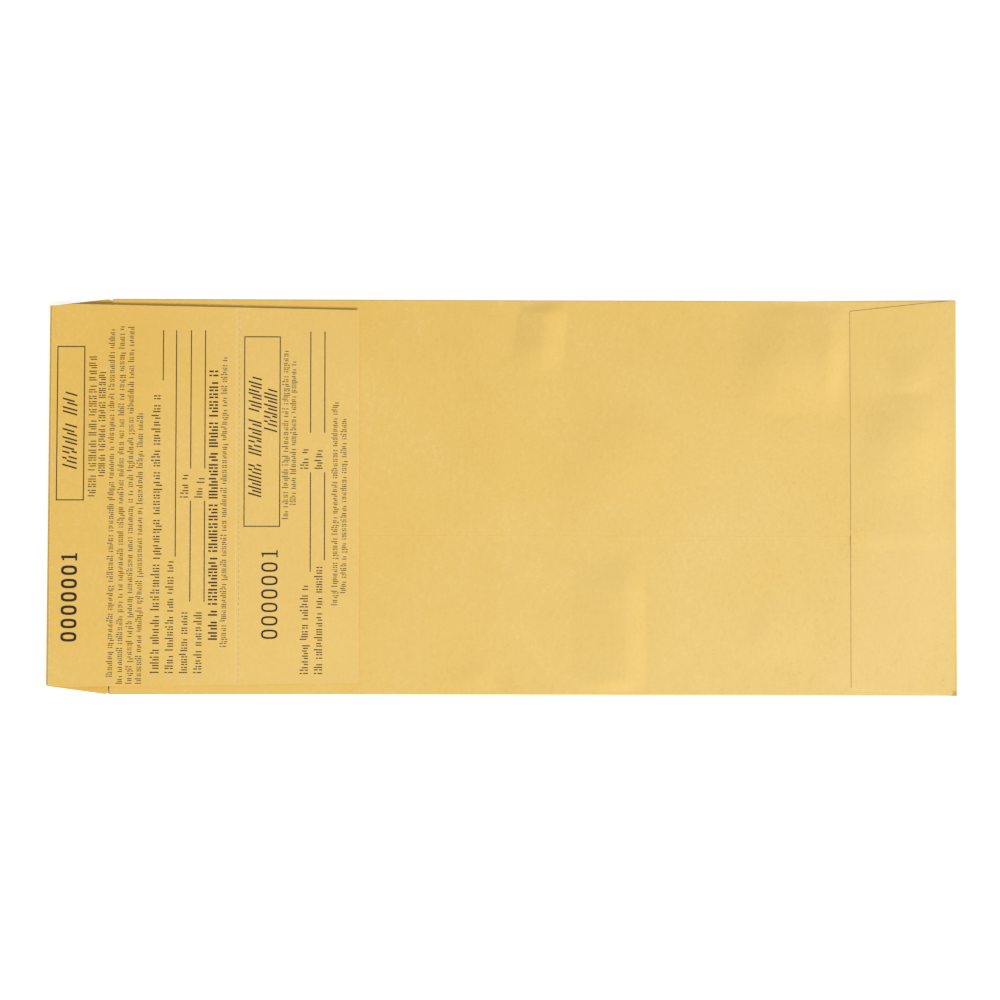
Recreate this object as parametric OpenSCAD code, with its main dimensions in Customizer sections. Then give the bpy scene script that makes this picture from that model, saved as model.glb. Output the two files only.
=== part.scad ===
// Open-end deposit envelope in kraft paper. One die-cut blank is folded into a flat pocket with a
// glued centre seam and a glued bottom flap. Past the gummed seal flap the blank runs on as a strip
// of two perforated numbered checks, which is folded back over the pocket.
// +X runs from the folded edge of the strip to the bottom fold, +Y to the upper side fold and +Z up
// from the table. The envelope lies on its front panel, and the origin is under its middle.

/* [Pocket] */
// Length from the mouth score to the bottom fold
body_l = 244.5; // [180:0.5:330]
// Width across the two side folds
body_w = 114.3; // [90:0.1:160]
// Thickness of the paper
paper_t = 0.15; // [0.1:0.01:0.25]
// Free height inside the empty pocket
pocket_gap = 0.3; // [0.2:0.05:1]
// How far the back panels' mouth edges stand in from the mouth score
mouth_setback = 0.2; // [0:0.1:3]

/* [Centre seam] */
// Distance of the upper side panel's free edge below the centre line
seam_offset = 11.1; // [0:0.1:20]
// How far the upper side panel laps over the lower one
seam_lap = 16; // [12:0.5:25]
// Width of the glue line in the middle of the lap
seam_glue_w = 9; // [4:0.5:11]
// Distance from each end of the panels to the end of the seam's glue line
seam_glue_margin = 4; // [1:0.5:20]
// Thickness of a dried glue line
glue_t = 0.03; // [0.01:0.01:0.1]

/* [Bottom flap] */
// Length from the bottom fold to the flap's free edge
bottom_flap_l = 30.6; // [20:0.2:45]
// Inset of the free edge's corners from the side folds
bottom_flap_inset = 2.6; // [1:0.1:12]
// Width of the glue band along the free edge
bottom_glue_w = 14; // [6:0.5:18]
// Distance from the glue band to the flap's cut edges
bottom_glue_margin = 1.5; // [0.5:0.1:2.5]

/* [Seal flap] */
// Length from the folded edge of the strip to the mouth score
seal_flap_l = 18; // [12:0.5:40]
// Inset of the flap's outer corners from the side folds
shoulder_drop = 2.3; // [1:0.1:12]
// Width of the mouth score, and of the notch at each of its ends
score_w = 0.6; // [0.3:0.1:1.5]
// Depth of the notch at each end of the mouth score
notch_d = 1.5; // [0.5:0.1:4]
// Distance from the gum to the flap's edges
gum_margin = 2; // [1:0.1:4]
// Thickness of the dried gum
gum_t = 0.03; // [0.01:0.01:0.1]

/* [Check strip] */
// Length of the A check, from the folded edge to the B check's perforation
a_check_l = 55.2; // [40:0.2:80]
// Length of the B check, from its perforation to the strip's free end
b_check_l = 34.4; // [20:0.2:50]
// Distance from the folded edge to the strip's widest place
strip_flare_l = 7; // [3:0.5:20]
// Inset of the strip's widest place from the side folds
strip_inset = 1.85; // [0.5:0.05:8]
// Inset of the strip's free end from the side folds
strip_end_inset = 2.8; // [0.5:0.1:12]
// Width of the scored band beside the B check's perforation
b_score_w = 0.8; // [0.4:0.1:1.5]
// Air between the folded strip, which springs up a little, and the panel under it
strip_air = 0.5; // [0.2:0.05:1]

/* [Perforations] */
// Distance from one cut to the next
perf_pitch = 1.5875; // [1:0.0125:4]
// Length of the paper tie left between two cuts
perf_tie = 0.45; // [0.2:0.05:0.7]
// Width of a cut
perf_cut_w = 0.2; // [0.1:0.05:0.4]

/* [Hidden] */
$fn = 48;

kraft = [0.91, 0.76, 0.44];
kraft_inside = [0.88, 0.71, 0.38];
glue_colour = [0.80, 0.66, 0.36];
gum_colour = [0.93, 0.78, 0.40];

// Heights of the undersides of the stacked sheets
lower_z = paper_t + pocket_gap;
upper_z = lower_z + paper_t + glue_t;
back_top = upper_z + paper_t;
bottom_flap_z = back_top + glue_t;
strip_z = back_top + strip_air;

// Outer radii of the half-round folds, each from the front sheet up to the sheet it carries
lower_fold_r = (lower_z + paper_t) / 2;
upper_fold_r = (upper_z + paper_t) / 2;
bottom_fold_r = (bottom_flap_z + paper_t) / 2;
check_fold_r = (strip_z + paper_t) / 2;

// Places along the envelope
left_x = -(seal_flap_l + body_l) / 2;
mouth_x = left_x + seal_flap_l;
right_x = mouth_x + body_l;
crease_x = left_x + check_fold_r;
tail_x = right_x - bottom_fold_r;
flap_root_x = mouth_x - score_w;
panel_x = mouth_x + mouth_setback;
bottom_edge_x = right_x - bottom_flap_l;
a_edge_x = crease_x + perf_cut_w;
perf_x = left_x + a_check_l;
b_score_x = perf_x - perf_cut_w / 2 - b_score_w;
strip_end_x = perf_x + b_check_l;

// Places across the envelope
side_y = body_w / 2;
lower_tangent_y = -side_y + lower_fold_r;
upper_tangent_y = side_y - upper_fold_r;
seam_edge_y = -seam_offset;
lower_edge_y = seam_edge_y + seam_lap;
tip_y = side_y - shoulder_drop;

// Half the strip's width: it flares from the crease to its widest place, then tapers to its free end
function strip_half(x) = x < left_x + strip_flare_l
    ? lookup(x, [[crease_x, tip_y], [left_x + strip_flare_l, side_y - strip_inset]])
    : lookup(x, [[left_x + strip_flare_l, side_y - strip_inset],
                 [strip_end_x, side_y - strip_end_inset]]);

// Half the bottom flap's width: full at the fold, narrowest at the free edge
function bottom_half(x) = lookup(x, [[bottom_edge_x, side_y - bottom_flap_inset], [tail_x, side_y]]);

// Half the seal flap's width: narrowest at the crease, full at the mouth
function seal_half(x) = lookup(x, [[crease_x, tip_y], [flap_root_x, side_y]]);

// A flat sheet over a range of x and y
module sheet(x0, x1, y0, y1, z, t = paper_t)
    translate([x0, y0, z]) cube([x1 - x0, y1 - y0, t]);

// A flat sheet with an outline
module cut_sheet(points, z, t = paper_t)
    translate([0, 0, z]) linear_extrude(t) polygon(points);

// The half of a ring that bulges to -x, centred on the origin
module half_ring(r) difference() {
    circle(r);
    circle(r - paper_t);
    translate([0, -r]) square([r, 2 * r]);
}

// The lower or upper half of that, from the tangent line to the outermost line of the fold
module quarter_ring(r, upper) difference() {
    half_ring(r);
    translate([-r, upper ? -r : 0]) square([r, r]);
}

// A fold along Y between y0 and y1, its children's section centred at x and r above the table
module fold_along_y(x, y0, y1, r, to_right = false)
    translate([x, y1, r]) mirror([to_right ? 1 : 0, 0, 0])
        rotate([90, 0, 0]) linear_extrude(y1 - y0) children();

// A fold along X between x0 and x1, its tangent line at y and bulging to -y or, mirrored, to +y
module fold_along_x(y, x0, x1, r, to_upper = false)
    translate([x0, y, r]) mirror([0, to_upper ? 1 : 0, 0])
        rotate([90, 0, 90]) linear_extrude(x1 - x0) half_ring(r);

// The tapering part of the strip from x0 to x1
module strip_part(x0, x1)
    cut_sheet([[x0, -strip_half(x0)], [x1, -strip_half(x1)],
        [x1, strip_half(x1)], [x0, strip_half(x0)]], strip_z);

// The row of paper ties between the cuts of a perforation, from x0 to x0 + perf_cut_w
module perforation_ties(x0) {
    half = strip_half(x0);
    cuts = floor((2 * half - perf_tie) / perf_pitch);
    for (i = [0 : cuts])
        translate([x0, (i - cuts / 2) * perf_pitch - perf_tie / 2, strip_z])
            cube([perf_cut_w, perf_tie, paper_t]);
}

module front_panel() color(kraft)
    sheet(mouth_x, tail_x, lower_tangent_y, upper_tangent_y, 0);

module lower_side_fold() color(kraft)
    fold_along_x(lower_tangent_y, panel_x, tail_x, lower_fold_r);

module lower_side_panel() color(kraft)
    sheet(panel_x, tail_x, lower_tangent_y, lower_edge_y, lower_z);

module upper_side_fold() color(kraft)
    fold_along_x(upper_tangent_y, panel_x, tail_x, upper_fold_r, true);

module upper_side_panel() color(kraft)
    sheet(panel_x, tail_x, seam_edge_y, upper_tangent_y, upper_z);

module centre_seam_glue() color(glue_colour) {
    middle = (seam_edge_y + lower_edge_y) / 2;
    sheet(panel_x + seam_glue_margin, tail_x - seam_glue_margin,
        middle - seam_glue_w / 2, middle + seam_glue_w / 2, lower_z + paper_t, glue_t);
}

module bottom_fold() color(kraft)
    fold_along_y(tail_x, -side_y, side_y, bottom_fold_r, true) half_ring(bottom_fold_r);

module bottom_flap() color(kraft)
    cut_sheet([[bottom_edge_x, -bottom_half(bottom_edge_x)], [tail_x, -side_y],
        [tail_x, side_y], [bottom_edge_x, bottom_half(bottom_edge_x)]], bottom_flap_z);

// Two bands: a thin one on the upper side panel, and one that fills the step down to the lower panel
module bottom_flap_glue() color(glue_colour) {
    x0 = bottom_edge_x + bottom_glue_margin;
    x1 = x0 + bottom_glue_w;
    lower_top = lower_z + paper_t;
    outer = bottom_half(bottom_edge_x) - bottom_glue_margin;
    sheet(x0, x1, seam_edge_y, outer, back_top, glue_t);
    sheet(x0, x1, -outer, seam_edge_y, lower_top, bottom_flap_z - lower_top);
}

module mouth_score() color(kraft)
    sheet(flap_root_x, mouth_x, -side_y + notch_d, side_y - notch_d, 0);

module seal_flap() color(kraft_inside)
    cut_sheet([[crease_x, -tip_y], [flap_root_x, -side_y],
        [flap_root_x, side_y], [crease_x, tip_y]], 0);

module seal_gum() color(gum_colour) {
    x0 = crease_x + gum_margin;
    x1 = flap_root_x - gum_margin;
    y0 = seal_half(x0) - gum_margin;
    y1 = seal_half(x1) - gum_margin;
    cut_sheet([[x0, -y0], [x1, -y1], [x1, y1], [x0, y0]], paper_t, gum_t);
}

module check_fold_lower() color(kraft)
    fold_along_y(crease_x, -tip_y, tip_y, check_fold_r) quarter_ring(check_fold_r, false);

module check_fold_upper() color(kraft)
    fold_along_y(crease_x, -tip_y, tip_y, check_fold_r) quarter_ring(check_fold_r, true);

module a_perforation_ties() color(kraft) perforation_ties(crease_x);

module a_check() color(kraft) {
    x1 = left_x + strip_flare_l;
    cut_sheet([[a_edge_x, -strip_half(a_edge_x)], [x1, -strip_half(x1)],
        [b_score_x, -strip_half(b_score_x)], [b_score_x, strip_half(b_score_x)],
        [x1, strip_half(x1)], [a_edge_x, strip_half(a_edge_x)]], strip_z);
}

module b_score() color(kraft) strip_part(b_score_x, b_score_x + b_score_w);

module b_perforation_ties() color(kraft) perforation_ties(perf_x - perf_cut_w / 2);

module b_check() color(kraft) strip_part(perf_x + perf_cut_w / 2, strip_end_x);

front_panel();
lower_side_fold();
lower_side_panel();
upper_side_fold();
upper_side_panel();
centre_seam_glue();
bottom_fold();
bottom_flap();
bottom_flap_glue();
mouth_score();
seal_flap();
seal_gum();
check_fold_lower();
check_fold_upper();
a_perforation_ties();
a_check();
b_score();
b_perforation_ties();
b_check();
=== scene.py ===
import math
import random

import bmesh
import bpy
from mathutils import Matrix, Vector


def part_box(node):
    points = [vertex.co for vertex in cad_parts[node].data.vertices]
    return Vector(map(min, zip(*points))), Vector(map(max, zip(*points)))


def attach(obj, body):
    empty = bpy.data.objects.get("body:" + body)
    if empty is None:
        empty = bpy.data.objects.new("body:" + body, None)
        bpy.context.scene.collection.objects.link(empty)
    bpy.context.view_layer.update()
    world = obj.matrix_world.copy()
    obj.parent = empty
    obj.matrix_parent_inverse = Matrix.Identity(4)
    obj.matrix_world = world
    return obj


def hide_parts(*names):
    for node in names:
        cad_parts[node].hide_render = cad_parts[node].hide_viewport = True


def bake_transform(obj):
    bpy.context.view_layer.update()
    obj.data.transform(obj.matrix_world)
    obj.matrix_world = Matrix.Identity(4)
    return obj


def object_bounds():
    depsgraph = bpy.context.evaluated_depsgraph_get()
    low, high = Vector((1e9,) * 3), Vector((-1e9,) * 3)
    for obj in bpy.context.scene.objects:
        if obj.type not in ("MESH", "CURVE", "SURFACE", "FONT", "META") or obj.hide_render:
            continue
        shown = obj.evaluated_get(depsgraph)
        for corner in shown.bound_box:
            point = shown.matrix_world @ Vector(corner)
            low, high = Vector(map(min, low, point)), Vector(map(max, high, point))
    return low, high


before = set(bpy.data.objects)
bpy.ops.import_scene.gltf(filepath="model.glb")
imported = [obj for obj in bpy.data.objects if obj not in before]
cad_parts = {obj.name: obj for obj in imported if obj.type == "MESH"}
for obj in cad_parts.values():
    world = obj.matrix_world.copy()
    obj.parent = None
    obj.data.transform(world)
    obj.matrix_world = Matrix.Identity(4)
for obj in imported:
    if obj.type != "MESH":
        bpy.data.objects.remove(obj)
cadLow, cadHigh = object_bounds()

scene = bpy.context.scene
mm = 0.001               # shapes are worked out in millimetres and scaled once, in their last step
print("frame loaded")


def low(node, axis):
    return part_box(node)[0][axis] / mm


def high(node, axis):
    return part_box(node)[1][axis] / mm


def ease(t):
    t = min(1.0, max(0.0, t))
    return t * t * (3 - 2 * t)


def between(x, stops):
    # straight lines between stops, flat outside them
    if x <= stops[0][0]:
        return stops[0][1]
    for (x0, y0), (x1, y1) in zip(stops, stops[1:]):
        if x <= x1:
            return y0 + (y1 - y0) * (x - x0) / (x1 - x0)
    return stops[-1][1]


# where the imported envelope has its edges, folds and layers
paper = {
    "thick": high("front_panel", 2),
    "leftX": cadLow[0] / mm,
    "creaseX": high("check_fold_lower", 0),
    "rootX": high("seal_flap", 0),
    "mouthX": low("front_panel", 0),
    "panelX": low("upper_side_panel", 0),
    "flapEdgeX": low("bottom_flap", 0),
    "tailX": high("front_panel", 0),
    "rightX": cadHigh[0] / mm,
    "sideY": cadHigh[1] / mm,
    "tipY": high("check_fold_lower", 1),
    "seamY": low("upper_side_panel", 1),
    "lapY": high("lower_side_panel", 1),
    "lowerZ": low("lower_side_panel", 2),
    "upperZ": low("upper_side_panel", 2),
    "stripZ": low("a_check", 2),
    "stripTop": high("a_check", 2),
    "bandX": low("b_score", 0),
    "slitX": high("b_score", 0),
    "endX": high("b_check", 0),
}

# camera and light: distances in metres, the camera's place in millimetres, angles in degrees
view = {"distance": 2.4, "lens": 298.95, "sensor": 36, "clipEnd": 10, "x": -0.70, "y": -0.71,
        "roll": 0.13}
studio = {"lampAway": 3.0, "lampHeight": 34, "lampTurn": -45, "lampSize": 0.85, "lampWatts": 91.0,
          "skyStrength": 0.465, "floorGlow": 0.55}

camera = bpy.data.objects.new("camera", bpy.data.cameras.new("camera"))
scene.collection.objects.link(camera)
camera.data.lens = view["lens"]
camera.data.sensor_width = view["sensor"]
camera.data.clip_end = view["clipEnd"]
camera.location = (view["x"] * mm, view["y"] * mm, view["distance"])
camera.rotation_euler = (0, 0, math.radians(view["roll"]))
scene.camera = camera

lamp = bpy.data.objects.new("softLamp", bpy.data.lights.new("softLamp", "AREA"))
scene.collection.objects.link(lamp)
lamp.data.size = studio["lampSize"]
lamp.data.energy = studio["lampWatts"]
turn, height = math.radians(studio["lampTurn"]), math.radians(studio["lampHeight"])
lamp.location = Vector((math.cos(turn) * math.cos(height), math.sin(turn) * math.cos(height),
                        math.sin(height))) * studio["lampAway"]
lamp.rotation_euler = lamp.location.to_track_quat("Z", "Y").to_euler()

sky = bpy.data.worlds.new("sky")
sky.use_nodes = True
sky.node_tree.nodes["Background"].inputs[0].default_value = (1, 1, 1, 1)
sky.node_tree.nodes["Background"].inputs[1].default_value = studio["skyStrength"]
scene.world = sky
scene.view_settings.view_transform = "Standard"
print("camera and light placed")


class Wire:
    # a socket that Python's own signs can be used on
    def __init__(self, graph, socket):
        self.graph, self.socket = graph, socket

    def sum(self, kind, first, second):
        return self.graph.node("ShaderNodeMath", {"operation": kind}, {0: first, 1: second})

    def __add__(self, other):
        return self.sum("ADD", self, other)

    def __radd__(self, other):
        return self.sum("ADD", other, self)

    def __sub__(self, other):
        return self.sum("SUBTRACT", self, other)

    def __rsub__(self, other):
        return self.sum("SUBTRACT", other, self)

    def __mul__(self, other):
        return self.sum("MULTIPLY", self, other)

    def pick(self, name):
        return Wire(self.graph, self.socket.node.outputs[name])


class Finish:
    # one material and its nodes
    def __init__(self, name):
        self.material = bpy.data.materials.new(name)
        self.material.use_nodes = True
        self.nodes = self.material.node_tree.nodes
        self.nodes.clear()

    def node(self, kind, settings=None, inputs=None, output=0):
        made = self.nodes.new(kind)
        for key, value in (settings or {}).items():
            setattr(made, key, value)
        for key, value in (inputs or {}).items():
            if isinstance(value, Wire):
                self.material.node_tree.links.new(value.socket, made.inputs[key])
            else:
                made.inputs[key].default_value = value
        return Wire(self, made.outputs[output])

    def noise(self, point, scale, detail, rough):
        return self.node("ShaderNodeTexNoise", {}, {"Vector": point, "Scale": scale,
                                                    "Detail": detail, "Roughness": rough})

    def step(self, value, start, end):
        settings = {"interpolation_type": "SMOOTHSTEP", "clamp": True}
        return self.node("ShaderNodeMapRange", settings,
                         {"Value": value, "From Min": start, "From Max": end})

    def mix(self, factor, first, second):
        inputs = {0: factor, 6: first, 7: second}
        return self.node("ShaderNodeMix", {"data_type": "RGBA"}, inputs, 2)

    def close(self, colour, roughness, bump, strength, reach, **constants):
        normal = self.node("ShaderNodeBump", {}, {"Strength": strength, "Distance": reach,
                                                  "Height": bump})
        inputs = {"Base Color": colour, "Roughness": roughness, "Normal": normal}
        shader = self.node("ShaderNodeBsdfPrincipled", {}, {**inputs, **constants})
        shown = self.nodes.new("ShaderNodeOutputMaterial")
        self.material.node_tree.links.new(shader.socket, shown.inputs["Surface"])
        return self.material


# kraft paper: cloudy pulp, fibres along and across the sheet, bran-brown flecks and pale shives,
# paler towards +x and -y as painted sheen and deeper towards -x and +y as painted shade; rim is
# above 0 on a pale cut edge and below 0 where painted shade darkens a fold or edge
kraft = {
    "face": (0.803, 0.543, 0.152, 1), "inside": (0.765, 0.480, 0.118, 1),
    "deep": (0.735, 0.480, 0.128, 1), "pale": (0.860, 0.620, 0.235, 1),
    "fleck": (0.420, 0.235, 0.070, 1), "edge": (0.905, 0.705, 0.330, 1),
    "paintedShade": (0.560, 0.350, 0.110, 1), "sheenPaintedTone": (0.800, 0.583, 0.222, 1),
    "shadePaintedTone": (0.815, 0.505, 0.104, 1),
    "alongStretch": (1.0, 0.62, 1.0), "acrossStretch": (0.35, 1.0, 1.0),
    "blotchScale": 24, "cloudScale": 110, "pulpScale": 900, "fibreScale": 2600,
    "strandScale": 3380, "fleckScale": 900, "shiveScale": 720,
    "blotch": 0.30, "cloud": 0.28, "pulp": 0.62, "fibre": 0.40, "fleckMost": 0.22,
    "paleBy": (0.5, 0.9), "deepBy": (0.0, 0.4), "branBy": (0.69, 0.76), "shiveBy": (0.70, 0.76),
    "paintedLightSlope": 3.2, "paintedLightCloud": 0.5, "sheenPaintedBy": (-0.1, 0.75), "shadePaintedBy": (0.1, -0.75),
    "rimMost": 0.75, "rough": 0.86, "roughPulp": 0.22, "roughRim": 0.06,
    "bumpPulp": 0.55, "bumpFibre": 0.30, "bumpCloud": 0.4, "bump": 0.30, "bumpReach": 0.00006,
}


def kraftFinish(name, base):
    finish = Finish(name)
    point = finish.node("ShaderNodeTexCoord", output=3)
    along = finish.node("ShaderNodeMapping", {}, {"Vector": point, "Scale": kraft["alongStretch"]})
    across = finish.node("ShaderNodeMapping", {}, {"Vector": point,
                                                   "Scale": kraft["acrossStretch"]})
    blotch = finish.noise(point, kraft["blotchScale"], 2.0, 0.5)
    cloud = finish.noise(point, kraft["cloudScale"], 4.0, 0.55)
    pulp = finish.noise(along, kraft["pulpScale"], 3.0, 0.6)
    fibre = finish.noise(across, kraft["fibreScale"], 2.0, 0.6)
    strand = finish.noise(along, kraft["strandScale"], 2.0, 0.6)
    shade = (cloud - 0.5) * kraft["cloud"] + (pulp - 0.5) * kraft["pulp"] \
        + (fibre - 0.5) * kraft["fibre"]
    shade = shade + (strand - 0.5) * kraft["fibre"] + (blotch - 0.5) * kraft["blotch"] + 0.5
    place = finish.node("ShaderNodeSeparateXYZ", {}, {0: point})
    # painted light: the sheet is paler on the lamp's side (+x, -y) and deeper on the far side
    paintedLightRamp = place.pick("X") * kraft["paintedLightSlope"] - place.pick("Y") * kraft["paintedLightSlope"] \
        + (blotch - 0.5) * kraft["paintedLightCloud"]
    base = finish.mix(finish.step(paintedLightRamp, *kraft["sheenPaintedBy"]), base, kraft["sheenPaintedTone"])
    base = finish.mix(finish.step(paintedLightRamp, *kraft["shadePaintedBy"]), base, kraft["shadePaintedTone"])
    colour = finish.mix(finish.step(shade, *kraft["paleBy"]), base, kraft["pale"])
    colour = finish.mix(finish.step(0.5 - shade, *kraft["deepBy"]), colour, kraft["deep"])
    bran = finish.step(finish.noise(across, kraft["fleckScale"], 3.0, 0.7), *kraft["branBy"])
    colour = finish.mix(bran * kraft["fleckMost"], colour, kraft["fleck"])
    shive = finish.step(finish.noise(along, kraft["shiveScale"], 3.0, 0.7), *kraft["shiveBy"])
    colour = finish.mix(shive * kraft["fleckMost"], colour, kraft["edge"])
    rim = finish.node("ShaderNodeAttribute", {"attribute_name": "rim"}, output=2)
    colour = finish.mix(rim * kraft["rimMost"], colour, kraft["edge"])
    # a rim below 0 paints shade: darker folds and edges
    colour = finish.mix(rim * -kraft["rimMost"], colour, kraft["paintedShade"])
    rough = kraft["rough"] - (pulp - 0.5) * kraft["roughPulp"] + rim * kraft["roughRim"]
    bump = pulp * kraft["bumpPulp"] + fibre * kraft["bumpFibre"] + strand * kraft["bumpFibre"] \
        + cloud * kraft["bumpCloud"]
    constants = {"Specular IOR Level": 0.28, "Sheen Weight": 0.05, "Sheen Roughness": 0.5}
    return finish.close(colour, rough, bump, kraft["bump"], kraft["bumpReach"], **constants)


# print: a thin brown-black ink that lets the pulp through where it is starved
ink = {"body": (0.050, 0.020, 0.009, 1), "starved": (0.170, 0.085, 0.030, 1),
       "stamp": (0.030, 0.013, 0.008, 1), "patchScale": 1400, "starvedBy": (0.52, 0.74),
       "rough": 0.62, "roughPatch": 0.25, "bump": 0.20, "bumpReach": 0.00002}


def inkFinish(name, body, starve):
    finish = Finish(name)
    point = finish.node("ShaderNodeTexCoord", output=3)
    patch = finish.noise(point, ink["patchScale"], 3.0, 0.65)
    thin = finish.step(patch, *ink["starvedBy"]) * starve
    colour = finish.mix(thin, body, ink["starved"])
    return finish.close(colour, ink["rough"] + patch * ink["roughPatch"], patch, ink["bump"],
                        ink["bumpReach"], **{"Specular IOR Level": 0.35})


# glue lines and gum: dried films that soak into the sheet and crackle a little
film = {"glue": (0.560, 0.380, 0.130, 1), "glueThick": (0.440, 0.280, 0.085, 1),
        "gum": (0.720, 0.455, 0.118, 1), "gumThick": (0.620, 0.375, 0.085, 1),
        "poolScale": 160, "pooledBy": (0.35, 0.7), "crackScale": 700, "crackWide": 0.05,
        "crackMost": 0.25, "crackDeep": 0.3, "roughPool": 0.2, "bump": 0.35, "bumpReach": 0.00005}


def filmFinish(name, thin, thick, rough):
    finish = Finish(name)
    point = finish.node("ShaderNodeTexCoord", output=3)
    pool = finish.noise(point, film["poolScale"], 4.0, 0.6)
    crack = finish.node("ShaderNodeTexVoronoi", {"feature": "DISTANCE_TO_EDGE"},
                        {"Vector": point, "Scale": film["crackScale"]})
    line = 1 - finish.step(crack, 0.0, film["crackWide"])
    colour = finish.mix(finish.step(pool, *film["pooledBy"]), thin, thick)
    colour = finish.mix(line * film["crackMost"], colour, thin)
    return finish.close(colour, rough + pool * film["roughPool"],
                        pool - line * film["crackDeep"], film["bump"], film["bumpReach"])


finishes = {
    "outside": kraftFinish("kraftOutside", kraft["face"]),
    "inside": kraftFinish("kraftInside", kraft["inside"]),
    "print": inkFinish("formInk", ink["body"], 0.55),
    "stamp": inkFinish("numberInk", ink["stamp"], 0.25),
    "glue": filmFinish("driedGlue", film["glue"], film["glueThick"], 0.55),
    "gum": filmFinish("envelopeGum", film["gum"], film["gumThick"], 0.60),
}
print("finishes made")


# rows of a sheet: how far the extra ones stand from its ends and from named places, the least step
# between two rows, and the angle in degrees past which an edge stays sharp
rows = {"fromEnds": (0.15, 0.4, 0.8), "fromPlaces": (-1.2, -0.6, -0.3, 0.0, 0.3, 0.6, 1.2),
        "least": 0.12, "sharpFrom": 38}


def stations(start, end, step, near=()):
    # places for a sheet's rows: even, and closer at both ends and at the places in near
    count = max(1, round((end - start) / step))
    marks = [start + (end - start) * i / count for i in range(count + 1)]
    for away in rows["fromEnds"]:
        marks += [start + away, end - away]
    for place in near:
        marks += [place + away for away in rows["fromPlaces"]]
    kept = [start]
    for mark in sorted(marks):
        if mark - kept[-1] > rows["least"] and mark < end - rows["least"]:
            kept.append(mark)
    return kept + [end]


def shares(step):
    # places across a sheet, as shares of its half width
    return [mark / 100 for mark in stations(-100, 100, step)]


def closePiece(name, mesh, finish):
    data = bpy.data.meshes.new(name)
    mesh.to_mesh(data)
    mesh.free()
    data.shade_smooth()
    data.set_sharp_from_angle(angle=math.radians(rows["sharpFrom"]))
    data.materials.append(finishes[finish])
    piece = bpy.data.objects.new(name, data)
    scene.collection.objects.link(piece)
    return piece


def sheet(name, xs, ys, place, finish="outside", thick=None, pale=1.0):
    # a closed sheet of paper or film: a grid on the given stations, thickened, then laid by place()
    mesh = bmesh.new()
    rim = mesh.verts.layers.float.new("rim")
    bmesh.ops.create_grid(mesh, x_segments=len(xs) - 1, y_segments=len(ys) - 1, size=1)
    for vert in mesh.verts:
        column = round((vert.co.x + 1) / 2 * (len(xs) - 1))
        row = round((vert.co.y + 1) / 2 * (len(ys) - 1))
        vert[rim] = pale if vert.is_boundary else 0.0
        vert.co = (xs[column], ys[row], 0)
    made = bmesh.ops.extrude_face_region(mesh, geom=mesh.faces[:], use_keep_orig=True)
    lifted = [part for part in made["geom"] if isinstance(part, bmesh.types.BMVert)]
    bmesh.ops.translate(mesh, verts=lifted, vec=(0, 0, thick or paper["thick"]))
    bmesh.ops.recalc_face_normals(mesh, faces=mesh.faces[:])
    for vert in mesh.verts:
        vert.co = Vector(place(*vert.co)) * mm
    return closePiece(name, mesh, finish)


# how far each line across the envelope leans out of square, as a slope
leans = {
    "pocket": [(paper["mouthX"], 0.0078), (paper["mouthX"] + 40, -0.0013),
               (paper["flapEdgeX"], -0.0058), (paper["rightX"], -0.0050)],
    "strip": [(paper["leftX"], 0.0090), (paper["slitX"], 0.0026), (paper["endX"], -0.0006)],
    "seal": [(paper["leftX"], 0.0090), (paper["mouthX"], 0.0078)],
}


def lean(kind, x, y):
    return x + between(x, leans[kind]) * y


# how far each long fold stands in from a straight one, from the mouth to the bottom
waists = {
    "upper": [(-102, 0.0), (-1, 0.16), (60, 0.20), (86, 0.30), (99, 0.16), (115, 0.0),
              (131, -0.12)],
    "lower": [(-102, 0.0), (-45, 0.12), (0, 0.14), (60, 0.12), (131, 0.09)],
}


def waist(x, y):
    # draws a point of the pocket in towards the middle by its share of the fold's inset
    if y > 0:
        return y - between(x, waists["upper"]) * ease(y / paper["sideY"])
    return y + between(x, waists["lower"]) * ease(-y / paper["sideY"])


# the pocket's relief: a pillow that is thin at its long folds, with worn creases and soft dents
pillow = {"foldRadius": 0.21, "foldSteps": 8, "climb": 24.0, "tailRun": 12.0, "tailLeast": 0.65,
          "swell": 0.30, "swellFrom": -5.0, "swellTo": 45.0, "crownY": -8.0, "crownHalf": 58.0,
          "edgeFlat": 0.3, "edgeRun": 4.0, "endRun": 14.0, "mouthFrom": -25.0, "mouthRun": 20.0}

# each crease: crest from and to, reach on its left and right (as seen from its start), height, and
# the shares of its length over which it grows and dies away
creases = [
    ((12.9, 60.0), (10.6, 34.0), 6.5, 8.0, 0.64, (0.05, 0.40)),
    ((66.0, 42.0), (101.0, 39.8), 17.0, 17.0, 0.98, (0.45, 0.22)),
    ((34.9, -15.0), (34.9, -62.0), 6.4, 15.0, 0.48, (0.25, 0.05)),
    ((-7.5, -47.0), (-8.5, -62.0), 5.0, 9.0, 0.20, (0.35, 0.05)),
    ((-21.0, -45.0), (-22.0, -62.0), 6.0, 10.0, 0.12, (0.40, 0.05)),
    ((102.0, 16.5), (134.0, 18.5), 13.0, 16.0, 0.70, (0.40, 0.30)),
    ((111.0, 34.0), (127.0, 35.5), 9.0, 4.5, 0.26, (0.40, 0.40)),
    ((82.0, -28.0), (71.0, -48.0), 12.0, 5.5, 0.22, (0.45, 0.40)),
    ((-9.0, 60.0), (-12.5, 33.0), 13.0, 15.0, 0.13, (0.05, 0.45)),
    ((-4.0, 42.0), (0.0, -14.0), 17.0, 16.0, 0.26, (0.30, 0.45)),
    ((38.0, 30.0), (30.0, -4.0), 15.0, 15.0, 0.38, (0.45, 0.45)),
]
crestBlunt = 0.3      # how rounded a crest is, as a share of its reach; its feet stay sharp
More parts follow.
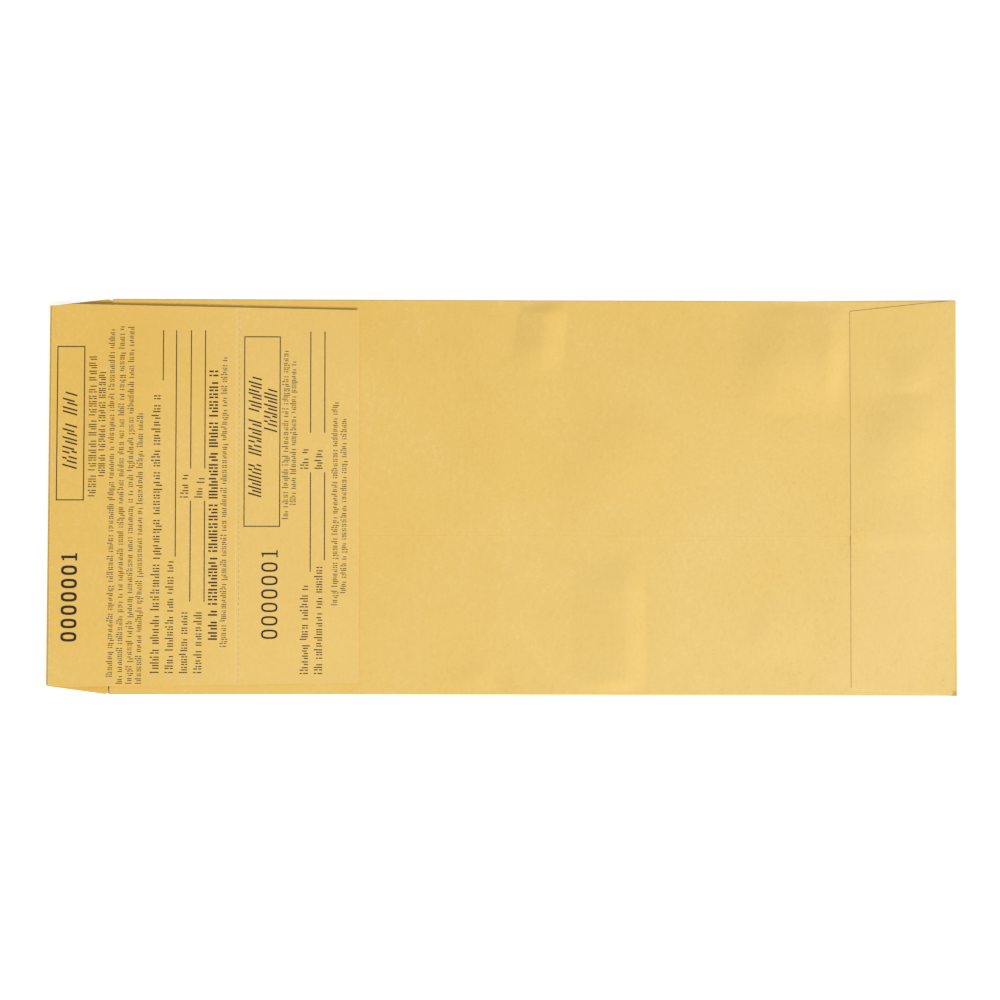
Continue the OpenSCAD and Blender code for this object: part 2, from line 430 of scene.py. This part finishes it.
closeRows = (4.9, 12.0, 19.4, 34.9, 41.2)      # x of steep crests and feet, where rows stand closer

# each dent: centre, reach along x and y, height
dents = [
    ((60.0, 20.0), (18.0, 26.0), 0.07), ((82.0, -8.0), (16.0, 30.0), -0.06),
    ((62.0, -40.0), (20.0, 16.0), -0.06),
]


def creaseHeight(x, y, crease):
    (ax, ay), (bx, by), left, right, height, (growth, decay) = crease
    length = math.hypot(bx - ax, by - ay)
    ux, uy = (bx - ax) / length, (by - ay) / length
    along = ((x - ax) * ux + (y - ay) * uy) / length
    if not 0 < along < 1:
        return 0.0
    off = (x - ax) * uy - (y - ay) * ux          # positive on the right of the line
    share = math.hypot(abs(off) / (right if off > 0 else left), crestBlunt)
    fall = 1 - (share - crestBlunt) / (math.hypot(1, crestBlunt) - crestBlunt)
    return height * max(0.0, fall) * ease(along / growth) * ease((1 - along) / decay)


def relief(x, y):
    # height of the back above a flat one, the same in every layer so that none cuts another
    inside = ease((paper["sideY"] - abs(y) - pillow["edgeFlat"]) / pillow["edgeRun"])
    grown = ease((x - pillow["swellFrom"]) / (pillow["swellTo"] - pillow["swellFrom"]))
    ended = ease((paper["rightX"] - x) / pillow["endRun"])
    offMouth = ease((x - pillow["mouthFrom"]) / pillow["mouthRun"])
    offCrown = min(1.0, abs(y - pillow["crownY"]) / pillow["crownHalf"])
    total = pillow["swell"] * math.cos(offCrown * math.pi / 2) * grown * ended
    for crease in creases:
        total += creaseHeight(x, y, crease) * inside * ended
    for (cx, cy), (rx, ry), size in dents:
        fall = math.exp(-((x - cx) / rx) ** 2 - ((y - cy) / ry) ** 2)
        total += size * fall * inside * offMouth
    return total * offMouth


def layer(x, y, z):
    # underside of a back sheet whose flat height is z: low at the long folds, full further in
    foot = 2 * pillow["foldRadius"] - paper["thick"]
    inward = paper["sideY"] - pillow["foldRadius"] - abs(y)
    full = pillow["tailLeast"] + (1 - pillow["tailLeast"]) \
        * ease((paper["tailX"] - x) / pillow["tailRun"])
    return foot + (z - foot) * ease(inward / pillow["climb"]) * full + relief(x, y)


# painted shade on the outside of the pocket's rounded folds and along the side panels' edges,
# darkest in a spot at one corner
foldShade = {"foldTone": 0.6, "reach": 0.45, "tone": 0.75, "cornerX": 131.4, "cornerY": -57.2,
        "cornerReach": 1.5, "cornerTone": 1.3}


def paintFoldShade(piece):
    marked = piece.data.attributes["rim"].data
    for vert in piece.data.vertices:
        x, y = vert.co.x / mm, vert.co.y / mm
        # painted shade along the rounded long folds and the end fold, and a darker spot of it at
        # one corner
        edge = max(abs(y) - paper["sideY"], x - paper["rightX"]) + foldShade["reach"]
        if edge > 0:
            marked[vert.index].value = -foldShade["tone"] * ease(edge / foldShade["reach"])
        if math.hypot(x - foldShade["cornerX"], y - foldShade["cornerY"]) < foldShade["cornerReach"]:
            marked[vert.index].value = -foldShade["cornerTone"]


def sidePanel(name, sign, freeY, z, nodes):
    # a back panel and its long fold: s runs from the free edge, over the back, round to the front
    radius = pillow["foldRadius"]
    middle = radius - paper["thick"] / 2
    tangent = paper["sideY"] - radius

    def place(x, s, h):
        if s <= tangent:
            y = s * sign
            return lean("pocket", x, y), waist(x, y), layer(x, y, z) + h
        turned = min((s - tangent) / middle, math.pi)
        far = radius - paper["thick"] + h
        y = (tangent + far * math.sin(turned)) * sign
        return lean("pocket", x, y), waist(x, y), radius + far * math.cos(turned)

    flat = stations(freeY * sign, tangent, 1.0)
    arc = [tangent + middle * math.pi * i / pillow["foldSteps"]
           for i in range(1, pillow["foldSteps"] + 1)]
    xs = stations(paper["panelX"], paper["tailX"], 0.9, closeRows)
    # the side panels' edges, the seam's free edge among them, are darkened as painted shade
    piece = sheet(name, xs, flat + arc, place, pale=-foldShade["foldTone"])
    paintFoldShade(piece)
    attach(piece, "pocket")
    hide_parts(*nodes)


sidePanel("upperSidePanel", 1, paper["seamY"], paper["upperZ"],
          ("upper_side_fold", "upper_side_panel"))
sidePanel("lowerSidePanel", -1, paper["lapY"], paper["lowerZ"],
          ("lower_side_fold", "lower_side_panel"))
print("side panels folded")


# the notch at each end of the mouth: a straight nick above, a slanted slit below
notch = {"top": 1.5, "bottom": 2.4, "slant": 0.364, "slantFrom": -55.6, "gap": 0.035,
         "moves": 0.1}


def notchLine(y):
    # how far the cut stands from the mouth line at y, or None where the sheet isn't cut
    if y > paper["sideY"] - notch["top"]:
        return 0.0
    if y < -paper["sideY"] + notch["bottom"]:
        return (y - notch["slantFrom"]) * notch["slant"]
    return None


def frontPlace(x, y, h):
    cut = notchLine(y)
    if cut is not None and x < paper["mouthX"] + notch["moves"]:
        x = paper["mouthX"] + cut + notch["gap"] / 2
    return lean("pocket", x, y), waist(x, y), h


frontEdge = paper["sideY"] - pillow["foldRadius"]
frontPanel = sheet("frontPanel", stations(paper["mouthX"], paper["tailX"], 2.5),
                   stations(-frontEdge, frontEdge, 2.5), frontPlace)
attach(frontPanel, "pocket")
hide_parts("front_panel")

# the bottom flap: a taper with a free edge, stepped over the seam, and the fold that closes the end
tail = {"insetTop": 3.07, "insetBottom": 2.14, "stepFrom": 1.0, "stepRun": 5.5, "glueLift": 0.03,
        "bendBack": 0.2, "bendStep": 0.17, "bendSteps": 10}


def flapHalf(x, sign):
    narrow = paper["sideY"] - (tail["insetTop"] if sign > 0 else tail["insetBottom"])
    return between(x, [(paper["flapEdgeX"], narrow), (paper["tailX"], paper["sideY"])])


def flapTop(x, y):
    # the flap lies on the upper panel and, past the seam, steps down on to the lower one
    step = ease((paper["seamY"] + tail["stepFrom"] - y) / tail["stepRun"])
    under = paper["upperZ"] + (paper["lowerZ"] - paper["upperZ"]) * step
    return layer(x, y, under) + paper["thick"] + tail["glueLift"]


def bottomPlace(s, v, h):
    sign = 1 if v > 0 else -1
    x = min(s, paper["tailX"])
    y = v * flapHalf(x, sign)
    roof = flapTop(paper["tailX"], y)
    radius = (roof + paper["thick"]) / 2
    tangentX = paper["rightX"] - radius
    if s <= tangentX:
        return lean("pocket", s, y), waist(s, y), flapTop(s, y) + h
    turned = min((s - tangentX) / (radius - paper["thick"] / 2), math.pi)
    far = radius - paper["thick"] + h
    x = tangentX + far * math.sin(turned)
    return lean("pocket", x, y), waist(x, y), radius + far * math.cos(turned)


bendFrom = paper["tailX"] - tail["bendBack"]
bottomXs = stations(paper["flapEdgeX"], bendFrom, 1.0)
bottomXs += [bendFrom + tail["bendStep"] * i for i in range(1, tail["bendSteps"] + 1)]
bottomFlap = sheet("bottomFlap", bottomXs, shares(1.6), bottomPlace)
paintFoldShade(bottomFlap)
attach(bottomFlap, "pocket")
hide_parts("bottom_fold", "bottom_flap")
print("bottom flap folded")

# glue films, hidden in the lap and under the bottom flap
glue = {"thick": high("centre_seam_glue", 2) - low("centre_seam_glue", 2)}


def seamGluePlace(x, y, h):
    return lean("pocket", x, y), y, layer(x, y, paper["lowerZ"]) + paper["thick"] + h


seamGlue = sheet("seamGlue", stations(low("centre_seam_glue", 0), high("centre_seam_glue", 0), 2.5),
                 stations(low("centre_seam_glue", 1), high("centre_seam_glue", 1), 1.5),
                 seamGluePlace, "glue", glue["thick"])
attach(seamGlue, "pocket")
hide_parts("centre_seam_glue")


def flapGluePlace(x, y, h):
    base = paper["upperZ"] if y > paper["seamY"] else paper["lowerZ"]
    under = layer(x, y, base) + paper["thick"]
    over = flapTop(x, y)
    return lean("pocket", x, y), y, under + (over - under) * (h / glue["thick"])


flapGlue = sheet("flapGlue", stations(low("bottom_flap_glue", 0), high("bottom_flap_glue", 0), 1.2),
                 stations(low("bottom_flap_glue", 1), high("bottom_flap_glue", 1), 1.2,
                          (paper["seamY"],)),
                 flapGluePlace, "glue", glue["thick"])
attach(flapGlue, "pocket")
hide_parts("bottom_flap_glue")
print("glue laid")

# the seal flap: shoulders that slope to the crease, rounded where the notches cut the mouth's ends
seal = {"round": 0.7, "roundShare": 0.8, "shift": 0.33, "spread": 0.35, "rise": 0.19,
        "riseRun": 3.0, "extraRows": (0.05, 0.3, 0.6)}


def sealHalf(x, sign):
    slope = between(x, [(paper["creaseX"], paper["tipY"]), (paper["rootX"], paper["sideY"])])
    fromRoot = between(x, [(paper["creaseX"], 1.0), (paper["rootX"], 0.0)])
    shifted = seal["shift"] * max(0, sign) * fromRoot
    left = (x - (paper["rootX"] - seal["round"])) / seal["round"]
    corner = seal["round"] * (1 - math.sqrt(max(0.0, 1 - max(0.0, left) ** 2)))
    return slope + shifted - corner * seal["roundShare"]


def sealLift(x):
    # the flap's end stands up a little, so that closed it passes under the strip and not through it
    return seal["rise"] * ease(1 - (x - paper["creaseX"]) / seal["riseRun"])


def sealPlace(x, v, h):
    y = v * sealHalf(x, 1 if v > 0 else -1)
    cut = notchLine(y)
    if cut is not None and x > paper["rootX"] - seal["spread"]:
        reach = (x - paper["rootX"] + seal["spread"]) / seal["spread"]
        x += reach * (paper["mouthX"] + cut - notch["gap"] / 2 - paper["rootX"])
    return lean("seal", x, y), y, h + sealLift(x)


sealXs = stations(paper["creaseX"], paper["rootX"], 0.9)
sealXs = sorted(set(sealXs + [paper["rootX"] - mark for mark in seal["extraRows"]]))
sealVs = shares(1.6)
sealFlap = sheet("sealFlap", sealXs, sealVs, sealPlace, "inside")
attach(sealFlap, "flap")
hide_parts("seal_flap")


# the gum stops short of the flap's edges in a slightly rippled line
gum = {"margin": 2.0, "ripple": 0.25, "rippleRate": 2.3, "sunk": 0.004}


def gumPlace(x, v, h):
    rippled = gum["ripple"] * math.sin(x * gum["rippleRate"]) * abs(v)
    y = v * (sealHalf(x, 1 if v > 0 else -1) - gum["margin"] + rippled)
    return lean("seal", x, y), y, paper["thick"] - gum["sunk"] + h + sealLift(x)


sealGum = sheet("sealGum", stations(low("seal_gum", 0), high("seal_gum", 0), 1.2), sealVs,
                gumPlace, "gum", high("seal_gum", 2) - low("seal_gum", 2))
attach(sealGum, "flap")
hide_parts("seal_gum")

# the scored mouth line
score = {"from": low("mouth_score", 0), "wide": high("mouth_score", 0) - low("mouth_score", 0),
         "dip": 0.02, "rowStep": 0.05, "rowSteps": 12}


def scorePlace(x, v, h):
    y = v * (paper["sideY"] - (notch["top"] if v > 0 else notch["bottom"]))
    dip = score["dip"] * math.sin((x - score["from"]) / score["wide"] * math.pi)
    return lean("seal", x, y), y, h + (dip if h > 0 else 0)


def squareTo(tilt, run):
    # the way across a fold line that leans by tilt, run millimetres along x
    return Vector((1, -tilt, 0)) * (run * mm / (1 + tilt * tilt))


scoreXs = [score["from"] + score["rowStep"] * i for i in range(score["rowSteps"] + 1)]
mouthFold = sheet("mouthFold", scoreXs, sealVs, scorePlace, "inside")
mouthLine = Vector((paper["mouthX"] * mm, 0, 0))
mouthLine - squareTo(between(paper["mouthX"], leans["seal"]), score["wide"])
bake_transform(mouthFold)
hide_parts("mouth_score")

# the strip: it flares from the crease, tapers to its free end and stands a little off centre
strip = {"widest": high("a_check", 1), "flareX": paper["leftX"] + 7,
         "endAt": (paper["endX"], 53.85), "shiftLeft": 0.38, "shiftRight": 0.2, "reach": 0.15,
         "wave": 0.04, "waveAlong": (0.09, 0.6), "waveAcross": (0.045, 0.4), "waveRun": 12,
         "droop": 0.35, "droopFrom": 30, "droopWide": 25, "droopRun": 26,
         "paled": 0.15, "palesOver": 55}


def stripHalf(x, sign):
    half = between(x, [(paper["creaseX"], paper["tipY"]), (strip["flareX"], strip["widest"]),
                       strip["endAt"]])
    shift = between(x, [(paper["leftX"], strip["shiftLeft"]), (paper["endX"], strip["shiftRight"])])
    return half + sign * shift


def stripLift(x, y):
    # a slow wave in the sheet, and long edges that hang down a little towards the pocket
    rateX, startX = strip["waveAlong"]
    rateY, startY = strip["waveAcross"]
    fromFold = x - paper["creaseX"]
    wave = strip["wave"] * math.sin(x * rateX + startX) * math.cos(y * rateY + startY)
    droop = strip["droop"] * ease((abs(y) - strip["droopFrom"]) / strip["droopWide"])
    return wave * ease(fromFold / strip["waveRun"]) - droop * ease(fromFold / strip["droopRun"])


def stripPlace(x, v, h):
    y = v * stripHalf(x, 1 if v > 0 else -1)
    return lean("strip", x, y), y, paper["stripZ"] + h + stripLift(x, y)


def paleTowardsEnd(piece):
    # the strip is paler the further it is from the fold
    shades = piece.data.attributes["rim"].data
    for vert in piece.data.vertices:
        paled = strip["paled"] * ease((vert.co.x / mm - strip["flareX"]) / strip["palesOver"])
        shades[vert.index].value = max(shades[vert.index].value, paled)


stripVs = shares(2.0)

# the crease: two quarter bends, one on each side of the fold's outermost line
fold = {"radius": paper["stripTop"] / 2, "steps": 8, "span": 0.35}


def bendPlace(turnedFrom, turnedTo):
    def place(s, v, h):
        degrees = turnedFrom + (turnedTo - turnedFrom) * s
        sign = 1 if v > 0 else -1
        fromHalf, toHalf = sealHalf(paper["creaseX"], sign), stripHalf(paper["creaseX"], sign)
        y = v * between(degrees, [(0, fromHalf), (90, (fromHalf + toHalf) / 2), (180, toHalf)])
        turned = math.radians(degrees)
        far = fold["radius"] - h
        x = paper["creaseX"] - far * math.sin(turned)
        lift = seal["rise"] * max(0.0, math.cos(turned)) ** 2
        return lean("strip", x, y), y, fold["radius"] - far * math.cos(turned) + lift
    return place


bendSteps = [i / fold["steps"] for i in range(fold["steps"] + 1)]


def bendPiece(name, turnedFrom, turnedTo, start, end, node):
    piece = sheet(name, bendSteps, stripVs, bendPlace(turnedFrom, turnedTo))
    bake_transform(piece)
    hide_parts(node)


# the two bends that turn about -Y, each baked where it lies at rest
creaseX = paper["creaseX"] * mm
bendPiece("creaseLowerHalf", 0, 90, Vector((creaseX, 0, fold["radius"] * mm)),
          Vector((creaseX, 0, (seal["rise"] + paper["thick"]) * mm)), "check_fold_lower")
creaseLine = Vector((creaseX, 0, 0))
bendPiece("creaseUpperHalf", 90, 180, creaseLine,
          creaseLine - squareTo(between(paper["leftX"], leans["strip"]), fold["span"]),
          "check_fold_upper")
print("crease bent")

# the perforations: closed slits at the crease, open ones past the score between the two checks
perf = {"pitch": 1.5875, "tie": 0.62, "margin": 0.2, "gapA": 0.02, "cut": 0.07,
        "scoreStep": 0.1, "scoreSteps": 8}


def ties(name, x0, x1):
    # the paper left between the cuts
    half = stripHalf((x0 + x1) / 2, 1) - perf["margin"]
    count = int((2 * half - perf["tie"]) // perf["pitch"])
    middle = paper["stripZ"] + paper["thick"] / 2
    mesh = bmesh.new()
    mesh.verts.layers.float.new("rim")
    for i in range(count + 1):
        y = (i - count / 2) * perf["pitch"]
        made = bmesh.ops.create_cube(mesh, size=1)["verts"]
        bmesh.ops.scale(mesh, verts=made, vec=(x1 - x0, perf["tie"], paper["thick"]))
        bmesh.ops.translate(mesh, verts=made, vec=((x0 + x1) / 2, y, 0))
    for vert in mesh.verts:
        x, y, z = vert.co
        vert.co = Vector((lean("strip", x, y), y, middle + z + stripLift(x, y))) * mm
    return closePiece(name, mesh, "outside")


aTies = ties("aPerforationTies", paper["creaseX"], paper["creaseX"] + perf["gapA"])
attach(aTies, "a_ties")
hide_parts("a_perforation_ties")

aXs = stations(paper["creaseX"] + perf["gapA"], paper["bandX"], 1.2, (strip["flareX"],))
aCheck = sheet("aCheck", aXs, stripVs, stripPlace)
paleTowardsEnd(aCheck)
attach(aCheck, "a_stub")
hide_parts("a_check")

bandXs = [paper["bandX"] + perf["scoreStep"] * i for i in range(perf["scoreSteps"] + 1)]
bBand = sheet("bScore", bandXs, stripVs, stripPlace)
paleTowardsEnd(bBand)
bTies = ties("bPerforationTies", paper["slitX"], paper["slitX"] + perf["cut"])
bandLine = Vector((paper["bandX"] * mm, 0, 0))
bandAcross = squareTo(between(paper["slitX"], leans["strip"]), paper["slitX"] - paper["bandX"])
bandLine + bandAcross
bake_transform(bBand)
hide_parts("b_score")
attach(bTies, "b_ties")
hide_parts("b_perforation_ties")

bXs = stations(paper["slitX"] + perf["cut"], paper["endX"] + strip["reach"], 1.2)
bCheck = sheet("bCheck", bXs, stripVs, stripPlace)
paleTowardsEnd(bCheck)
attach(bCheck, "b_stub")
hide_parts("b_check")
print("checks perforated")

# the printed form: frames and rules, wordless strokes in place of its text, and plain numbers
form = {"film": 0.02, "sunk": 0.006, "rule": 0.27, "heavyRule": 0.29, "span": 1.6,
        "labelTall": 2.4, "ringSteps": 20, "squareness": 3, "seed": 41}
draw = random.Random(form["seed"])


class Press:
    # gathers strokes in strip coordinates: d from the folded edge, y across; letters read toward +y
    def __init__(self, name, body, finish):
        self.name, self.body, self.finish = name, body, finish
        self.mesh = bmesh.new()

    def bar(self, d0, d1, y0, y1, slant=0.0):
        tall, wide = abs(d1 - d0), abs(y1 - y0)
        made = bmesh.ops.create_grid(self.mesh, x_segments=1 + int(tall / form["span"]),
                                     y_segments=1 + int(wide / form["span"]), size=0.5)["verts"]
        bmesh.ops.scale(self.mesh, verts=made, vec=(tall, wide, 1))
        bmesh.ops.translate(self.mesh, verts=made, vec=((d0 + d1) / 2, (y0 + y1) / 2, 0))
        if slant:
            for vert in made:
                vert.co.y -= (vert.co.x - (d0 + d1) / 2) * slant

    def ring(self, d0, d1, y0, y1, wide):
        # an upright rounded loop
        power = form["squareness"]
        loops = []
        for inset in (0.0, wide):
            made = bmesh.ops.create_circle(self.mesh, segments=form["ringSteps"], radius=1)["verts"]
            for vert in made:
                angle = math.atan2(vert.co.y, vert.co.x)
                down, over = math.cos(angle), math.sin(angle)
                fullness = (abs(down) ** power + abs(over) ** power) ** (-1 / power)
                x = down * fullness * ((d1 - d0) / 2 - inset)
                y = over * fullness * ((y1 - y0) / 2 - inset)
                vert.co = ((d0 + d1) / 2 + x, (y0 + y1) / 2 + y, 0)
            loops += list({edge for vert in made for edge in vert.link_edges})
        bmesh.ops.bridge_loops(self.mesh, edges=loops)

    def frame(self, d0, d1, y0, y1, wide):
        self.bar(d0, d1, y0, y0 + wide)
        self.bar(d0, d1, y1 - wide, y1)
        self.bar(d0, d0 + wide, y0 + wide, y1 - wide)
        self.bar(d1 - wide, d1, y0 + wide, y1 - wide)

    def finishFilm(self):
        mesh = self.mesh
        made = bmesh.ops.extrude_face_region(mesh, geom=mesh.faces[:], use_keep_orig=True)
        lifted = [part for part in made["geom"] if isinstance(part, bmesh.types.BMVert)]
        bmesh.ops.translate(mesh, verts=lifted, vec=(0, 0, form["film"]))
        bmesh.ops.recalc_face_normals(mesh, faces=mesh.faces[:])
        base = paper["stripTop"] - form["sunk"]
        for vert in mesh.verts:
            d, y, h = vert.co
            x = paper["leftX"] + d
            vert.co = Vector((lean("strip", x, y), y, base + h + stripLift(x, y))) * mm
        piece = closePiece(self.name, mesh, self.finish)
        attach(piece, self.body)


# the signs, in shares of their height: how their strokes are cut, how many rise above or drop below
# the small ones, and how they are spaced
sign = {"kinds": (0, 1, 1, 2, 2, 3), "short": 0.3, "gapAt": 0.36, "gapStep": 0.2, "gapHalf": 0.07,
        "shift": 0.18, "small": 0.28, "drop": 0.24, "risesBelow": 0.22, "dropsAbove": 0.90,
        "narrowest": 0.72, "apart": 0.17, "firstWord": (2, 7), "wordSpread": 2.2}


def mark(press, d0, d1, y, wide, stroke, slant):
    # one wordless sign between the lines d0 (top) and d1 (foot): upright strokes that never join
    tall = d1 - d0
    kind = draw.choice(sign["kinds"])
    if kind == 0:        # one post
        press.bar(d0, d1, y, y + stroke, slant)
        return stroke
    for place, at in enumerate((y, y + wide - stroke)):
        if kind == 1:    # two posts, the second short
            press.bar(d0 + tall * sign["short"] * place, d1, at, at + stroke, slant)
        elif kind == 2:  # two posts, each with a gap at its own height
            gap = sign["gapAt"] + sign["gapStep"] * place
            press.bar(d0, d0 + tall * (gap - sign["gapHalf"]), at, at + stroke, slant)
            press.bar(d0 + tall * (gap + sign["gapHalf"]), d1, at, at + stroke, slant)
        else:            # two posts, one raised and one lowered
            press.bar(d0 + tall * sign["shift"] * place, d1 - tall * sign["shift"] * (1 - place),
                      at, at + stroke, slant)
    return wide


def wordless(press, d0, d1, y0, y1, stroke, capitals=False, width=0.60, slant=0.0, space=0.5,
             words=5.2):
    # a line of signs from y0 to y1 between its cap line d0 and base line d1
    tall = d1 - d0
    y = y0
    left = draw.randint(*sign["firstWord"])
    first = True
    while y < y1 - tall * width:
        top, foot = d0, d1
        if not capitals and not first:
            kind = draw.random()
            if kind >= sign["risesBelow"]:
                top = d0 + tall * sign["small"]
            if kind > sign["dropsAbove"]:
                foot = d1 + tall * sign["drop"]
        wide = tall * width * draw.uniform(sign["narrowest"], 1.0)
        y += mark(press, top, foot, y, wide, stroke, slant)
        y += tall * sign["apart"]
        first = False
        left -= 1
        if left <= 0:
            y += tall * space
            left = max(1, round(draw.gauss(words, sign["wordSpread"])))


def signed(press, d, texts, rules, under):
    # one line of the form to be filled in: labels, and the rules that stand under their cap line
    for y0, y1 in texts:
        wordless(press, d, d + form["labelTall"], y0, y1, **lettering["label"])
    for y0, y1 in rules:
        press.bar(d + under, d + under + form["rule"], y0, y1)


# figures off a numbering wheel: the one's foot and flag are in shares of its stroke and width
figures = {"count": 7, "footTall": 0.75, "footIn": 0.12, "flagFrom": 0.5, "flagTo": 1.2,
           "flagIn": 0.15}


def number(press, d0, d1, y0, pitch, wide, stroke):
    # noughts and a one
    for i in range(figures["count"] - 1):
        press.ring(d0, d1, y0 + pitch * i, y0 + pitch * i + wide, stroke)
    y = y0 + pitch * (figures["count"] - 1)
    postFrom, postTo = y + wide / 2 - stroke / 2, y + wide / 2 + stroke / 2
    footTop = d1 - stroke * figures["footTall"]
    press.bar(d0, d1, postFrom, postTo)
    press.bar(footTop, d1, y + wide * figures["footIn"], postFrom)
    press.bar(footTop, d1, postTo, y + wide * (1 - figures["footIn"]))
    press.bar(d0 + stroke * figures["flagFrom"], d0 + stroke * figures["flagTo"],
              y + wide * figures["flagIn"], postFrom)


lettering = {
    "aTitle": {"stroke": 0.46, "capitals": True, "width": 0.52, "slant": 0.28, "space": 0.6,
               "words": 3.0},
    "bTitle": {"stroke": 0.44, "capitals": True, "width": 0.50, "slant": 0.28, "space": 0.6,
               "words": 6.0},
    "heading": {"stroke": 0.26, "capitals": True, "width": 0.66},
    "notice": {"stroke": 0.46, "capitals": True, "width": 0.70},
    "opening": {"stroke": 0.32},
    "label": {"stroke": 0.30},
    "aSmall": {"stroke": 0.22},
    "bSmall": {"stroke": 0.21},
}

aPress = Press("aCheckPrint", "a_stub", "print")
aPress.frame(2.26, 10.36, -1.1, 43.5, form["heavyRule"])
wordless(aPress, 4.0, 8.2, 8.5, 34.8, **lettering["aTitle"])
wordless(aPress, 11.5, 13.8, 0.1, 42.3, **lettering["heading"])
wordless(aPress, 14.4, 16.4, 5.9, 36.5, **lettering["heading"])
for d, y0, y1 in ((17.1, -52.0, 50.4), (19.95, -54.0, 50.4), (22.7, -54.0, 50.4),
                  (25.45, -54.0, 24.4)):
    wordless(aPress, d, d + 1.85, y0, y1, **lettering["aSmall"])
wordless(aPress, 29.7, 32.3, -50.9, 31.0, **lettering["opening"])
aPress.bar(32.9, 32.9 + form["rule"], 33.6, 48.1)
signed(aPress, 34.0, [(-50.9, -18.2)], [(-17.3, 48.1)], 2.7)
for d in (38.1, 42.2):
    signed(aPress, d, [(-50.9, -32.9), (-0.2, 6.6)], [(-30.3, -1.1), (8.2, 48.1)], 2.9)
wordless(aPress, 46.4, 49.0, -41.3, 38.6, **lettering["notice"])
wordless(aPress, 49.75, 51.6, -43.3, 40.6, **lettering["aSmall"])
aPress.finishFilm()

aNumbers = Press("aCheckNumber", "a_stub", "stamp")
number(aNumbers, 4.0, 8.6, -41.9, 3.85, 2.75, 0.72)
aNumbers.finishFilm()

bPress = Press("bCheckPrint", "b_stub", "print")
bPress.frame(56.5, 67.05, -8.6, 46.4, form["rule"])
wordless(bPress, 57.8, 61.6, 0.4, 38.3, **lettering["bTitle"])
wordless(bPress, 62.3, 66.1, 19.2, 33.4, **lettering["bTitle"])
wordless(bPress, 67.5, 69.35, -6.3, 44.1, **lettering["bSmall"])
wordless(bPress, 69.8, 71.6, -2.2, 39.7, **lettering["bSmall"])
for d, textEnd, ruleStart in ((72.8, -24.8, -21.6), (76.9, -18.4, -18.2)):
    signed(bPress, d, [(-51.1, textEnd), (8.2, 14.9)], [(ruleStart, 7.2), (18.6, 47.8)], 2.85)
wordless(bPress, 81.8, 83.6, -31.2, 27.6, **lettering["bSmall"])
wordless(bPress, 84.4, 86.2, -27.7, 23.8, **lettering["bSmall"])
bPress.finishFilm()

bNumbers = Press("bCheckNumber", "b_stub", "stamp")
number(bNumbers, 61.7, 66.4, -41.0, 3.88, 2.7, 0.52)
bNumbers.finishFilm()
print("form printed")

# the table: half its side and its drop below the envelope in metres
floor = {"half": 3, "drop": 0.00002, "tone": (0.93, 0.93, 0.93, 1), "rough": 0.9}
floorMesh = bmesh.new()
bmesh.ops.create_grid(floorMesh, x_segments=1, y_segments=1, size=floor["half"])
floorData = bpy.data.meshes.new("table")
floorMesh.to_mesh(floorData)
floorMesh.free()
table = bpy.data.objects.new("table", floorData)
scene.collection.objects.link(table)
table.location.z = -floor["drop"]
tableFinish = bpy.data.materials.new("tableWhite")
tableFinish.use_nodes = True
tableShader = tableFinish.node_tree.nodes["Principled BSDF"]
tableShader.inputs["Base Color"].default_value = floor["tone"]
tableShader.inputs["Roughness"].default_value = floor["rough"]
tableShader.inputs["Emission Color"].default_value = (1, 1, 1, 1)
tableShader.inputs["Emission Strength"].default_value = studio["floorGlow"]
floorData.materials.append(tableFinish)
print("table laid")
